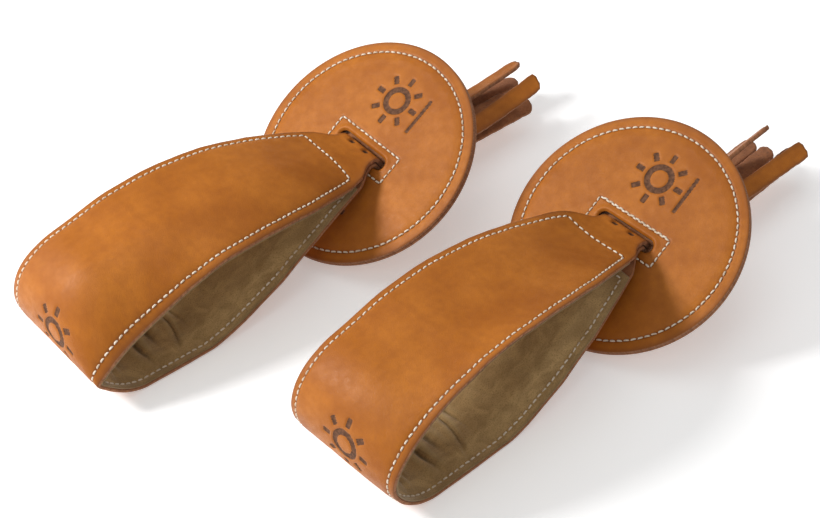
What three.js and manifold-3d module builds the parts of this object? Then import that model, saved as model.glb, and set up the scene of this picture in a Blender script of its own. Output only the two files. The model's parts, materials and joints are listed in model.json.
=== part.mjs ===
// A pair of leather hand straps for crash cymbals, lying on a table.
// Each strap is a padded teardrop hand loop whose two ends pass together through the slot of a
// round leather pad, and are slit into three tails each below it. Millimetres, +Z up. +X runs
// along the straps, from the closed end of the loops to the tails, and +Y is across them.
import * as THREE from 'three';
import { mergeVertices } from 'three/addons/utils/BufferGeometryUtils.js';
import Module from 'manifold-3d';

const wasm = await Module();
wasm.setup();

// ---- driving dimensions ---------------------------------------------------------------
const GAP = 0.3;                 // clearance kept between touching pieces
const LEATHER = 3.0;             // strap leather
const SUEDE = 1.0;               // lining of the hand loop
const FOAM_SPACE = 2.3;          // room for the foam between leather and lining
const THREAD = 0.8;              // waxed sewing thread
const THREAD_STANDOFF = 0.45;    // seams on curved leather stand this clear of it
const SLOT_TALL = 40;            // height of the cutter for the slot

const PAD_RADIUS = 74;
const PAD_LEATHER = 2.5;         // each of the pad's two leather discs
const PAD_CORE = 1.4;            // felt between the discs
const PAD_CORE_RADIUS = 61;
const PAD_RIM_DROP = 1.7;        // how far the top disc sinks to meet the bottom disc at the rim
const PAD_FLAT_RADIUS = 52;      // the top disc is flat inside this radius
const PAD_LEAN = THREE.MathUtils.degToRad(33);
const PAD_SEGMENTS = 48;
const RIM_SEAM_RADIUS = 67;

const SLOT_LENGTH = 41.5;        // across the strap
const SLOT_WIDTH = 8.5;
const SLOT_SEAM = { length: 54, width: 19 };

const NECK_WIDTH = 37;           // strap width where it passes the slot
const NECK_GAP = 0.4;            // between the two strap ends, flesh side to flesh side
const HINGE_LIFT = 2.5;          // height of the neck's bending line above the pad
const KNUCKLE = LEATHER + NECK_GAP / 2;
const KNUCKLE_CLEARANCE = 2.0;   // the loop's leather stops short of the knuckle, to swing past it
const NECK_BELOW = 1.0;          // the slits start this far below the pad's top surface
const TAIL_LEATHER = 2.8;        // the tails are skived and trimmed a little to draw through the slot
const TAIL_WIDTH = 11.7;
const TAIL_PITCH = 12.5;         // from the middle of one tail to the next

const LOOP_LENGTH = 224.5;       // bending line to the closed end
const LOOP_END_RADIUS = 36.2;
const LINING_START = 21;         // the lining stops this far from the bending line
const FOAM_MARGIN = 6;           // the foam stays this far inside the lining's edges
const SEAM_MARGIN = 4.5;         // stitch line to strap edge
const SEAM_START = 25;           // the seam's cross line, from the bending line
const SEAM_FLOOR_STOP = 6;       // the seam's thread ends this high, before the loop rests on the table

const PAIR = [
  { name: 'a', x: 0, y: 0, yaw: THREE.MathUtils.degToRad(-0.8) },
  { name: 'b', x: 68.7, y: -157.7, yaw: THREE.MathUtils.degToRad(2.5) },
];

// Each tail: how far its tip drifts sideways and lifts, its twist at the tip, and its length.
const TAILS = {
  a: {
    upper: [{ drift: 3, lift: 2, twist: -25, length: 148 }, { drift: 1, lift: 0, twist: 0, length: 100 },
            { drift: 4, lift: 4, twist: 30, length: 141 }],
    lower: [{ drift: 4, lift: -9, twist: 0, length: 147 }, { drift: 2.5, lift: -3, twist: 0, length: 125 },
            { drift: 3, lift: -7, twist: 25, length: 138 }],
  },
  b: {
    upper: [{ drift: -5, lift: 15, twist: -55, length: 143 }, { drift: 1, lift: 0, twist: 0, length: 96 },
            { drift: 0, lift: 2.5, twist: 28, length: 158 }],
    lower: [{ drift: 8, lift: -5, twist: 0, length: 150 }, { drift: 7.5, lift: -2.5, twist: 0, length: 151 },
            { drift: 6, lift: 0, twist: 25, length: 156 }],
  },
};

// ---- materials --------------------------------------------------------------------------
const grain = { color: 0xb06a2c, roughness: 0.45, metalness: 0 };
const flesh = { color: 0x8a5238, roughness: 0.9, metalness: 0 };
const looks = {
  leather: grain,
  tails: flesh,
  lining: { color: 0x776a45, roughness: 0.95, metalness: 0 },
  foam: { color: 0x3c3a36, roughness: 1, metalness: 0 },
  felt: { color: 0x5a5148, roughness: 1, metalness: 0 },
  thread: { color: 0xe9dcc8, roughness: 0.7, metalness: 0 },
};

// ---- solids -----------------------------------------------------------------------------
function toSolid(geometry) {
  const bare = geometry.clone();
  bare.deleteAttribute('normal');
  bare.deleteAttribute('uv');
  const merged = mergeVertices(bare, 1e-4);
  return new wasm.Manifold(new wasm.Mesh({
    numProp: 3,
    vertProperties: new Float32Array(merged.attributes.position.array),
    triVerts: new Uint32Array(merged.index.array),
  }));
}

function toGeometry(solid) {
  const mesh = solid.getMesh();
  const geometry = new THREE.BufferGeometry();
  geometry.setAttribute('position', new THREE.BufferAttribute(mesh.vertProperties, 3));
  geometry.setIndex(new THREE.BufferAttribute(mesh.triVerts, 1));
  geometry.computeVertexNormals();
  return geometry;
}

function node(name, geometry, look) {
  const mesh = new THREE.Mesh(geometry, new THREE.MeshStandardMaterial(look));
  mesh.name = name;
  return mesh;
}

// Extrudes an outline drawn in X and Z across the strap, with its middle on Y = 0.
function extrudeAcross(shape, width) {
  const options = { depth: width, bevelEnabled: false, curveSegments: 6 };
  return new THREE.ExtrudeGeometry(shape, options).rotateX(Math.PI / 2).translate(0, width / 2, 0);
}

function moveVertices(geometry, move) {
  const position = geometry.attributes.position;
  const point = new THREE.Vector3();
  for (let i = 0; i < position.count; i++) {
    point.fromBufferAttribute(position, i);
    move(point);
    position.setXYZ(i, point.x, point.y, point.z);
  }
  geometry.computeVertexNormals();
  return geometry;
}

// The left-hand normal of an open polyline at each of its points.
function polylineNormals(points) {
  return points.map((point, i) => {
    const before = points[Math.max(i - 1, 0)];
    const after = points[Math.min(i + 1, points.length - 1)];
    const along = after.clone().sub(before).normalize();
    return new THREE.Vector2(-along.y, along.x);
  });
}

// A strip of rectangular section along a polyline in X and Z. place(point, normal, side, depth)
// gives each corner: side is -1 or 1 across the strip, depth is measured along the left normal.
function ribbon(points, near, far, place) {
  const last = points.length - 1;
  const normals = polylineNormals(points);
  const geometry = new THREE.BoxGeometry(1, 1, 1, last, 1, 1);
  return moveVertices(geometry, (p) => {
    const station = Math.round((p.x + 0.5) * last);
    p.copy(place(points[station], normals[station], Math.sign(p.y), p.z < 0 ? near : far));
  });
}

// ---- pad --------------------------------------------------------------------------------
function lathe(profile) {
  const points = profile.map(([radius, height]) => new THREE.Vector2(radius, height));
  return new THREE.LatheGeometry(points, PAD_SEGMENTS).rotateX(Math.PI / 2);
}

// Height of the pad's top surface: flat in the middle, sinking to the rim in a cosine.
function padTop(radius) {
  const t = THREE.MathUtils.clamp((radius - PAD_FLAT_RADIUS) / (PAD_RADIUS - PAD_FLAT_RADIUS), 0, 1);
  return -PAD_RIM_DROP * (1 - Math.cos(Math.PI * t)) / 2;
}

function slotShape(length, width) {
  const shape = new THREE.Shape();
  const straight = (length - width) / 2;
  shape.absarc(0, straight, width / 2, 0, Math.PI, false);
  shape.absarc(0, -straight, width / 2, Math.PI, 2 * Math.PI, false);
  return shape;
}

function slotCutter() {
  const shape = slotShape(SLOT_LENGTH, SLOT_WIDTH);
  const options = { depth: SLOT_TALL, bevelEnabled: false, curveSegments: 6 };
  return toSolid(new THREE.ExtrudeGeometry(shape, options).translate(0, 0, -SLOT_TALL / 2));
}

const PAD_BOTTOM = -(2 * PAD_LEATHER + PAD_CORE + 2 * GAP);

function padTopDisc() {
  const radii = [0, PAD_FLAT_RADIUS, 60, 68];
  const edge = 0.8;
  const upper = radii.map((r) => [r, padTop(r)]);
  const lower = radii.map((r) => [r, padTop(r) - PAD_LEATHER]).reverse();
  const rim = [[PAD_RADIUS - edge, -PAD_RIM_DROP], [PAD_RADIUS, -PAD_RIM_DROP - edge],
               [PAD_RADIUS, -PAD_RIM_DROP - PAD_LEATHER]];
  const profile = [...upper, ...rim, ...lower].reverse();
  return toGeometry(toSolid(lathe(profile)).subtract(slotCutter()));
}

function padBottomDisc() {
  const top = PAD_BOTTOM + PAD_LEATHER;
  const edge = 0.8;
  const profile = [[0, PAD_BOTTOM], [PAD_RADIUS - edge, PAD_BOTTOM], [PAD_RADIUS, PAD_BOTTOM + edge],
                   [PAD_RADIUS, top], [0, top]];
  return toGeometry(toSolid(lathe(profile)).subtract(slotCutter()));
}

// The felt follows the underside of the top disc and thins towards its edge.
function padCore() {
  const base = PAD_BOTTOM + PAD_LEATHER + GAP;
  const under = (r) => padTop(r) - PAD_LEATHER - GAP;
  const profile = [[0, base], [PAD_CORE_RADIUS, base], [PAD_CORE_RADIUS, under(PAD_CORE_RADIUS)],
                   [PAD_FLAT_RADIUS, under(PAD_FLAT_RADIUS)], [0, under(0)]];
  return toGeometry(toSolid(lathe(profile)).subtract(slotCutter()));
}

function rimThread() {
  const height = padTop(RIM_SEAM_RADIUS) + THREAD_STANDOFF + THREAD / 2;
  const sides = 4;
  const profile = [];
  for (let i = 0; i <= sides; i++) {
    const angle = 2 * Math.PI * i / sides;
    profile.push([RIM_SEAM_RADIUS + THREAD / 2 * Math.cos(angle), height + THREAD / 2 * Math.sin(angle)]);
  }
  return lathe(profile);
}

function slotThread() {
  const { length, width } = SLOT_SEAM;
  const rectangle = (w, l) => [[-w, -l], [w, -l], [w, l], [-w, l]].map(([x, y]) => new THREE.Vector2(x, y));
  const shape = new THREE.Shape(rectangle(width / 2, length / 2));
  shape.holes.push(new THREE.Path(rectangle(width / 2 - THREAD, length / 2 - THREAD)));
  const geometry = new THREE.ExtrudeGeometry(shape, { depth: THREAD, bevelEnabled: false });
  return geometry.translate(0, 0, GAP);
}

// ---- heights that follow from the pad's lean --------------------------------------------------
const SLOT_HEIGHT = PAD_RADIUS * Math.sin(PAD_LEAN) - PAD_BOTTOM * Math.cos(PAD_LEAN);
const HINGE = new THREE.Vector3(-HINGE_LIFT * Math.sin(PAD_LEAN), 0,
                                SLOT_HEIGHT + HINGE_LIFT * Math.cos(PAD_LEAN));

// ---- hand loop, drawn with the bending line at the origin and the loop towards -X ---------------
function loopOutline() {
  const floor = -HINGE.z;
  const endX = -(LOOP_LENGTH - LOOP_END_RADIUS);
  const endZ = floor + LOOP_END_RADIUS;
  const over = [[-9, 4.0], [-24, 8.2], [-45, 15.2], [-66, 20.8], [-95, 25.6], [-125, 27.4], [-155, 27.6]];
  const under = [[-146, floor + 2.6], [-122, -35.5], [-95, -24.5], [-66, -15.4], [-45, -11.2], [-24, -8.2],
                 [-9, -4.0], [0, -KNUCKLE]];
  const toVectors = (list) => list.map(([x, z]) => new THREE.Vector2(x, z));
  const top = new THREE.SplineCurve([new THREE.Vector2(0, KNUCKLE), ...toVectors(over)]).getPoints(20);
  const end = [];
  const endSteps = 16;
  const from = THREE.MathUtils.degToRad(82);
  for (let i = 0; i <= endSteps; i++) {
    const angle = from - (from + Math.PI / 2) * i / endSteps;
    const away = new THREE.Vector2(-Math.cos(angle), Math.sin(angle)).multiplyScalar(LOOP_END_RADIUS);
    end.push(away.add(new THREE.Vector2(endX, endZ)));
  }
  const flatEnd = new THREE.Vector2(-162, floor);
  const bottom = new THREE.SplineCurve([flatEnd, ...toVectors(under)]).getPoints(20);
  return [...top, ...end, ...bottom];
}

// Half the strap's width against the distance from the bending line.
const WIDTH_STATIONS = [[0, NECK_WIDTH / 2], [9, NECK_WIDTH / 2], [13, 21.4], [17, 24.2], [34, 28.7],
                        [60, 35], [90, 39.6], [120, 41.6], [160, 41.6], [200, 41.2], [230, 40.8]];
function halfWidth(distance) {
  const last = WIDTH_STATIONS.length - 1;
  const next = WIDTH_STATIONS.findIndex(([d], i) => i > 0 && (distance <= d || i === last));
  const [d0, w0] = WIDTH_STATIONS[next - 1];
  const [d1, w1] = WIDTH_STATIONS[next];
  return w0 + (w1 - w0) * THREE.MathUtils.clamp((distance - d0) / (d1 - d0), 0, 1);
}

// A layer of the loop between two depths below its outer surface, cut back from the slot.
function loopLayer(outline, near, far, start, margin) {
  const points = outline.filter((p) => -p.x >= start);
  return ribbon(points, near, far, (point, normal, side, depth) => {
    const at = point.clone().addScaledVector(normal, depth);
    return new THREE.Vector3(at.x, side * (halfWidth(-at.x) - margin), at.y);
  });
}

function loopLeather(outline) {
  const neck = KNUCKLE + KNUCKLE_CLEARANCE;
  const cutter = new THREE.CylinderGeometry(neck, neck, 2 * NECK_WIDTH, 24);
  return toGeometry(toSolid(loopLayer(outline, 0, LEATHER, 0, 0)).subtract(toSolid(cutter)));
}

// The suede is as wide as the strap; its back is hollowed for the foam.
function loopLining(outline) {
  const inner = LEATHER + GAP + FOAM_SPACE + SUEDE;
  const suede = toSolid(loopLayer(outline, LEATHER + GAP, inner, LINING_START, 0));
  const hollow = toSolid(loopLayer(outline, LEATHER - GAP, inner - SUEDE, LINING_START + 5, FOAM_MARGIN));
  return toGeometry(suede.subtract(hollow));
}

function loopFoam(outline) {
  const inner = LEATHER + FOAM_SPACE;
  return loopLayer(outline, LEATHER + 2 * GAP, inner, LINING_START + 9, FOAM_MARGIN + 0.5);
}

// One thread runs up the far side, across near the slot and back down the near side.
function loopThread(outline) {
  const stop = outline.findIndex((p) => p.y < -HINGE.z + SEAM_FLOOR_STOP);
  const edge = outline.slice(0, stop).filter((p) => -p.x >= SEAM_START);
  const normals = polylineNormals(edge);
  const rise = THREAD_STANDOFF + THREAD / 2;
  const line = edge.map((p, i) => {
    const lifted = p.clone().addScaledVector(normals[i], -rise);
    return new THREE.Vector3(lifted.x, halfWidth(-p.x) - SEAM_MARGIN, lifted.y);
  });
  const mirrored = line.map((p) => new THREE.Vector3(p.x, -p.y, p.z)).reverse();
  const route = [...mirrored, ...line];
  const path = new THREE.CurvePath();
  for (let i = 1; i < route.length; i++) path.add(new THREE.LineCurve3(route[i - 1], route[i]));
  const half = THREAD / 2;
  const corners = [[half, 0], [0, half], [-half, 0], [0, -half]];
  const section = new THREE.Shape(corners.map(([x, y]) => new THREE.Vector2(x, y)));
  return new THREE.ExtrudeGeometry(section, { steps: 84, bevelEnabled: false, extrudePath: path });
}

// ---- strap ends below the pad, drawn with the bending line at the origin --------------------------
// Both ends leave the slot square to the pad, turn towards +X and stand clear of the table.
function tailOutline(layerOffset, stackHeight) {
  const down = new THREE.Vector2(Math.sin(PAD_LEAN), -Math.cos(PAD_LEAN));
  const across = new THREE.Vector2(Math.cos(PAD_LEAN), Math.sin(PAD_LEAN));
  const start = across.clone().multiplyScalar(layerOffset);
  const below = (depth) => start.clone().addScaledVector(down, depth);
  const floor = -HINGE.z + stackHeight;
  const points = [start, below(7), below(15), new THREE.Vector2(22 + layerOffset, floor + 28),
                  new THREE.Vector2(38 + layerOffset, floor + 24), new THREE.Vector2(58, floor + 22.5),
                  new THREE.Vector2(76, floor + 22), new THREE.Vector2(100, floor + 21.5),
                  new THREE.Vector2(130, floor + 20.3), new THREE.Vector2(165, floor + 18.3)];
  return new THREE.SplineCurve(points).getPoints(32);
}

function tailStrip(outline, centreY, tail) {
  const loose = 45;              // the tails part from each other beyond this distance
  const reach = outline.filter((p) => p.x <= tail.length);
  return ribbon(reach, -TAIL_LEATHER / 2, TAIL_LEATHER / 2, (point, normal, side, depth) => {
    const t = Math.max((point.x - loose) / (tail.length - loose), 0);
    const angle = THREE.MathUtils.degToRad(tail.twist) * t * (2 - t);
    const across = side * TAIL_WIDTH / 2;
    const rise = across * Math.sin(angle) + depth * Math.cos(angle);
    const at = point.clone().addScaledVector(normal, rise);
    const y = centreY + across * Math.cos(angle) - depth * Math.sin(angle) + tail.drift * t * t;
    return new THREE.Vector3(at.x, y, at.y + tail.lift * t * t);
  });
}

function strapEnd(sign, tails, stackHeight) {
  const layerOffset = sign * (LEATHER + NECK_GAP) / 2;
  const outline = tailOutline(layerOffset, stackHeight);
  const neck = new THREE.Shape();
  const inner = NECK_GAP / 2;
  neck.moveTo(inner, -HINGE_LIFT - NECK_BELOW);
  neck.lineTo(KNUCKLE, -HINGE_LIFT - NECK_BELOW);
  neck.absarc(0, 0, KNUCKLE, 0, Math.acos(inner / KNUCKLE), false);
  neck.closePath();
  const block = extrudeAcross(neck, NECK_WIDTH);
  if (sign < 0) block.rotateZ(Math.PI);
  block.rotateY(-PAD_LEAN);
  const below = outline.slice(1);
  let solid = toSolid(block);
  tails.forEach((tail, i) => {
    solid = solid.add(toSolid(tailStrip(below, (1 - i) * TAIL_PITCH, tail)));
  });
  return toGeometry(solid);
}

// ---- assembly ---------------------------------------------------------------------------------
function makeStrap({ name, x, y, yaw }) {
  const strap = new THREE.Group();
  strap.position.set(x, y, 0);
  strap.rotation.z = yaw;

  const pad = new THREE.Group();
  pad.position.z = SLOT_HEIGHT;
  pad.rotation.y = -PAD_LEAN;
  pad.add(
    node(`pad_${name}_top_leather`, padTopDisc(), looks.leather),
    node(`pad_${name}_felt_core`, padCore(), looks.felt),
    node(`pad_${name}_bottom_leather`, padBottomDisc(), looks.leather),
    node(`pad_${name}_rim_thread`, rimThread(), looks.thread),
    node(`pad_${name}_slot_thread`, slotThread(), looks.thread),
  );

  const outline = loopOutline();
  const bend = new THREE.Group();
  bend.position.copy(HINGE);
  bend.add(
    node(`loop_${name}_leather`, loopLeather(outline), looks.leather),
    node(`loop_${name}_foam`, loopFoam(outline), looks.foam),
    node(`loop_${name}_suede_lining`, loopLining(outline), looks.lining),
    node(`loop_${name}_seam_thread`, loopThread(outline), looks.thread),
    node(`tails_${name}_upper`, strapEnd(1, TAILS[name].upper, TAIL_LEATHER + 1.2), looks.tails),
    node(`tails_${name}_lower`, strapEnd(-1, TAILS[name].lower, 0), looks.tails),
  );
  strap.add(pad, bend);
  return strap;
}

const pair = new THREE.Group();
for (const place of PAIR) pair.add(makeStrap(place));

// The origin is under the middle of the pair's box, on the table.
pair.updateMatrixWorld(true);
const box = new THREE.Box3().setFromObject(pair, true);
const middle = box.getCenter(new THREE.Vector3());
pair.position.set(-middle.x, -middle.y, -box.min.z);

export default pair;
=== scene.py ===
import json
import math

import bpy
import numpy as np
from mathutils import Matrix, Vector


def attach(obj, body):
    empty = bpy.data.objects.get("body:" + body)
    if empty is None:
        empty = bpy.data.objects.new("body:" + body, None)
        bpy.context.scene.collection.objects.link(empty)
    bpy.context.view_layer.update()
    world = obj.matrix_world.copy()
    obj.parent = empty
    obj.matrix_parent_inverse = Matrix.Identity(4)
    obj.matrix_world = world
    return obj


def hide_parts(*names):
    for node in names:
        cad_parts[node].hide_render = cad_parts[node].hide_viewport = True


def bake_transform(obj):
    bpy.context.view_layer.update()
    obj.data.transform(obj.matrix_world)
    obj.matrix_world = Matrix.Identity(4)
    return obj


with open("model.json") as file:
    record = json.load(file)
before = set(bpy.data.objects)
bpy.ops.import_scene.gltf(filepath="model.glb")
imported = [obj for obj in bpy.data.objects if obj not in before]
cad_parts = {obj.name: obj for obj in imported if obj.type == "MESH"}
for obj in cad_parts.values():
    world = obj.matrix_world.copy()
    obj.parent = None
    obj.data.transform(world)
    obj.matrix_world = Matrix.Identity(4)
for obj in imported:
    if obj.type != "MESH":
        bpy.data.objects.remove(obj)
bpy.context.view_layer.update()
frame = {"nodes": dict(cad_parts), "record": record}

MM = 0.001

# ---- sizes of the parts, in millimetres --------------------------------------------------------
LEATHER = 3.0
PAD_LEATHER = 2.5
PAD_RADIUS = 74.0
PAD_RIM_DROP = 1.7
PAD_FLAT_RADIUS = 52.0
PAD_BOTTOM = -7.0
PAD_LEAN = math.radians(33)
RIM_SEAM_RADIUS = 67.0
SLOT_LENGTH, SLOT_WIDTH = 41.5, 8.5
SLOT_SEAM_LENGTH, SLOT_SEAM_WIDTH = 54.0, 19.0
NECK_GAP = 0.4
KNUCKLE = LEATHER + NECK_GAP / 2
HINGE_LIFT = 2.5
LOOP_LENGTH = 224.5
LOOP_END_RADIUS = 36.2
LINING_START = 21.0
SEAM_MARGIN = 4.5
SEAM_START = 25.0
# Half the strap's width against the distance from the bending line, drawn in a little at the slot.
WIDTHS = [(0, 16.2), (5, 16.7), (9, 18.5), (13, 21.4), (17, 24.2), (34, 28.7), (60, 35), (90, 39.6),
          (120, 41.6), (160, 41.6), (200, 41.2), (230, 40.8)]
TAIL_LEATHER, TAIL_WIDTH, TAIL_PITCH = 2.8, 11.7, 12.5
TAIL_STACK = TAIL_LEATHER + 1.2

# ---- sizes of the fine work, in millimetres ----------------------------------------------------
PITCH = 4.2                  # from stitch to stitch
STITCH = 3.3                 # the part of a stitch that shows
THREAD_RADIUS = 0.55
EDGE_ROUND = 0.8             # how far the leather's cut edges are rounded
NECK_SHIFT = 0.9             # the two strap ends lie against the loop's side of the slot
NECK_END = 9.0               # how far below the bending line the strap's piece hands over to the tails
HOLE_FROM_END = 10.2         # the punched holes where the slits start, from that end
HOLE_DEPTH = 2.4
HOLE_HALF_LENGTH, HOLE_HALF_WIDTH = 2.4, 2.3
CROWN, CROWN_REACH = 0.7, 9.0    # how far the strap's grain side falls to its edges, and from where
SEAM_GROOVE = 0.45           # how deep the stitches draw the leather in
SUEDE = 1.1
SUEDE_GROOVE = 0.4
LAYER_GAP = 0.15             # between leather, foam and suede
LINING_MARGIN = 0.25         # from the strap's edge to the suede's
SUEDE_PLUMP = 2.9            # how far the foam swells the suede
FOLDS, FOLD_SPACING, FOLD_DEPTH = 13, 13.5, 2.0
FOAM_START = LINING_START + 9
FOAM_MARGIN = 8.0            # from the strap's edge to the foam
PAD_LIP = 0.9                # how far the slot's edge stands up
PAD_PLUMP = 0.35             # how far the core swells the pad inside the rim seam
PAD_PUCKER = 0.16            # how far the rim seam puckers the leather inside it
RIM_SPAN = 70.0              # about the pad's width from slot to rim
SLOT_MEAN_RADIUS = 12.0      # the slot's size as a circle
WHOLE_LINE = -99.0           # a start before the first point of the strap's line

# The pressed mark is a ring round a boss, with rays.
EMBLEM_DEPTH = 0.8
EMBLEM_SOFT = 0.45           # half the width of its sloping sides
RING_RADII = (5.6, 9.4)
RAY_RADII = (11.6, 17.2)
RAY_HALF_WIDTH = 1.7
RAYS = 8
STRAP_EMBLEM = (-4.0, -4.0)  # the loop's mark, along and across from its foremost point
PAD_EMBLEM = (37.0, 3.0)     # the pad's mark, and a second one turned half round
BAR_LENGTH, BAR_WIDTH, BAR_AWAY, BAR_SOFT = 25.0, 2.4, 20.5, 0.4

# How finely the pieces are divided.
LOOP_STEP, TAIL_STEP = 1.05, 1.6
LEATHER_COLUMNS, LINING_COLUMNS, FOAM_COLUMNS, TAIL_COLUMNS = 84, 72, 24, 10
TOP_SECTORS, BOTTOM_SECTORS, TOP_ROWS = 320, 160, 92
STITCH_RINGS, STITCH_SIDES = 7, 8

# How each soft loop sags and twists. Against the distance from the bending line: the change in height
# above the table of the top run's -Y edge and +Y edge, as a share, and the lift of the under run's -Y
# edge in millimetres.
SAG = {
    "a": [(6, 0, 0, 0), (25, -0.14, 0.03, 0), (60, -0.15, 0, -3), (95, -0.125, 0, -7), (130, -0.13, 0, -6),
          (162, -0.24, -0.03, 0), (195, -0.39, -0.08, 0), (211, -0.47, -0.08, 0), (224, -0.53, -0.04, 0)],
    "b": [(6, 0, 0, 0), (25, 0.03, 0.12, -3), (55, 0.05, 0.03, -9), (95, 0.1, 0, -12), (130, 0.12, 0, -9.5),
          (152, 0.09, -0.02, -1), (184, 0, -0.06, 0), (199, -0.1, -0.07, 0), (215, -0.17, -0.07, 0),
          (224, -0.2, -0.04, 0)],
}
SAG_BLUR = 14                # the stations are joined smoothly over this distance
FOOT_HEIGHT = 30             # below this the closed end keeps its roundness
END_PULL = {"a": 2.2, "b": 1.0}  # how far the closed end is drawn in on its -Y side
END_TAPER = 1.2              # how much narrower the closed end is on its +Y side

# Each tail: sideways drift and lift at the tip, twist in degrees, length, and roundness of the tip.
# The tails of an end part from each other beyond TAIL_LOOSE.
TAIL_LOOSE = 45.0
TAILS = {
    "a": {"upper": [(3, 6.5, -25, 147, 7), (1, 3, 0, 91, 3), (4, 9, 30, 141, 2)],
          "lower": [(4, -4.5, 0, 147, 6), (2.5, 0, 0, 125, 3), (3, -2, 25, 135, 5)]},
    "b": {"upper": [(-5, 15, -55, 143, 4), (1, 0, 0, 96, 3), (0, 2.5, 28, 158, 2)],
          "lower": [(8, -5, 0, 150, 6), (7.5, -2.5, 0, 151, 5), (6, 0, 25, 156, 4)]},
}

DOWN = np.array([math.sin(PAD_LEAN), -math.cos(PAD_LEAN)])     # into the pad, in X and Z
ACROSS = np.array([math.cos(PAD_LEAN), math.sin(PAD_LEAN)])    # up the pad's slope


# ---- where each strap is -----------------------------------------------------------------------
class Strap:
    """Turns points in millimetres, with the neck's bending line as origin, into the row frame."""

    def __init__(self, name):
        joint = next(j for j in frame["record"]["behaviour"]["joints"] if j["name"] == f"loop_{name}_fold")
        self.name = name
        self.hinge = np.array(joint["pos_m"])
        ax, ay, _ = joint["axis"]
        yaw = math.atan2(-ax, ay)
        c, s = math.cos(yaw), math.sin(yaw)
        self.turn = np.array([[c, -s, 0], [s, c, 0], [0, 0, 1]])
        self.floor = -self.hinge[2] / MM

    def place(self, points):
        return (np.asarray(points) * MM) @ self.turn.T + self.hinge

    def pad_point(self, x, y, z):
        """A point given on the pad: x up its slope, y across, z out of its top surface."""
        z = np.asarray(z) - HINGE_LIFT
        return np.stack([x * ACROSS[0] - z * DOWN[0], y + 0 * z, x * ACROSS[1] - z * DOWN[1]], axis=-1)


def spline(points, divisions):
    """A uniform Catmull-Rom curve through the points, as the CAD outlines have."""
    p = np.asarray(points, float)
    p = np.vstack([p[0], p, p[-1]])
    out = []
    for i in range(1, len(p) - 2):
        for t in np.linspace(0, 1, divisions, endpoint=False):
            v0, v1 = (p[i + 1] - p[i - 1]) / 2, (p[i + 2] - p[i]) / 2
            out.append((2 * p[i] - 2 * p[i + 1] + v0 + v1) * t ** 3
                       + (3 * p[i + 1] - 3 * p[i] - 2 * v0 - v1) * t ** 2 + v0 * t + p[i])
    return np.vstack([out, p[-1]])


def resample(line, step):
    """The line's points at equal spacing, with the length along it at each."""
    along = np.r_[0, np.cumsum(np.linalg.norm(np.diff(line, axis=0), axis=1))]
    count = max(int(round(along[-1] / step)), 2)
    s = np.linspace(0, along[-1], count + 1)
    return np.stack([np.interp(s, along, line[:, k]) for k in range(line.shape[1])], axis=1), s


def normals_of(line):
    """Left-hand normals of a line in X and Z."""
    along = np.gradient(line, axis=0)
    along /= np.linalg.norm(along, axis=1)[:, None]
    return np.stack([-along[:, 1], along[:, 0]], axis=1)


def smooth_step(value, low, high):
    """0 below low, 1 above high, and smooth between them."""
    t = np.clip((np.asarray(value, float) - low) / (high - low), 0, 1)
    return t * t * (3 - 2 * t)


def band(value, low, high, soft):
    """1 between low and high, with sloping sides twice soft wide."""
    return smooth_step(value, low - soft, low + soft) * (1 - smooth_step(value, high - soft, high + soft))


def bell(value, reach):
    """1 at zero, falling away smoothly."""
    return np.exp(-(value / reach) ** 2)


def plateau(value, reach):
    """1 near zero, with steeper sides than a bell."""
    return np.exp(-(value / reach) ** 4)


def ripple(u, v, size, seed):
    """Smooth uneven waves between about -1 and 1, with features of the given size."""
    total = 0
    for k in range(5):
        angle = seed * 1.7 + k * 2.4
        reach = 2 * math.pi / (size * (0.8 + 0.25 * k))
        total = total + np.sin(reach * (u * math.cos(angle) + v * math.sin(angle)) + seed * (k + 1) * 1.3)
    return total / 3


def half_width(distance):
    """Half the strap's width at a distance from the bending line."""
    return np.interp(distance, *zip(*WIDTHS))


# ---- meshes ------------------------------------------------------------------------------------
def mesh_object(name, points, faces, materials, indices=None, flat=None, values=None):
    """A smooth-shaded mesh, with the flat pattern's coordinates and per-point values for its materials."""
    mesh = bpy.data.meshes.new(name)
    mesh.from_pydata(np.asarray(points).tolist(), [], np.asarray(faces).tolist())
    for material in materials:
        mesh.materials.append(material)
    mesh.polygons.foreach_set("use_smooth", np.ones(len(faces), bool))
    if indices is not None:
        mesh.polygons.foreach_set("material_index", np.asarray(indices, np.int32))
    if flat is not None:
        layer = mesh.uv_layers.new(name="flat")
        corners = np.empty(len(mesh.loops), np.int32)
        mesh.loops.foreach_get("vertex_index", corners)
        layer.data.foreach_set("uv", np.asarray(flat, np.float32)[corners].ravel())
    for key, value in (values or {}).items():
        mesh.attributes.new(key, "FLOAT", "POINT").data.foreach_set("value", np.asarray(value, np.float32))
    mesh.validate()
    mesh.update()
    made = bpy.data.objects.new(name, mesh)
    bpy.context.scene.collection.objects.link(made)
    return made


def outward(points, faces):
    """The faces, turned over if the closed mesh is inside out."""
    a, b, c, d = (points[faces[:, k]] for k in range(4))
    volume = np.einsum("ij,ij->i", a, np.cross(b, c) + np.cross(c, d)).sum()
    return faces if volume > 0 else faces[:, ::-1]


def tube_faces(rows, ring):
    """A tube's side quads, the quads that close its two ends, and each side quad's place in the ring."""
    r, k = np.meshgrid(np.arange(rows - 1), np.arange(ring), indexing="ij")
    nxt = (k + 1) % ring
    side = np.stack([r * ring + k, r * ring + nxt, (r + 1) * ring + nxt, (r + 1) * ring + k], axis=-1)
    i = np.arange(ring // 2 - 1)
    cap = np.stack([i, ring - 1 - i, ring - 2 - i, i + 1], axis=-1)
    far = cap[:, ::-1] + (rows - 1) * ring
    return side.reshape(-1, 4), np.vstack([cap, far]), k.ravel()


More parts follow.
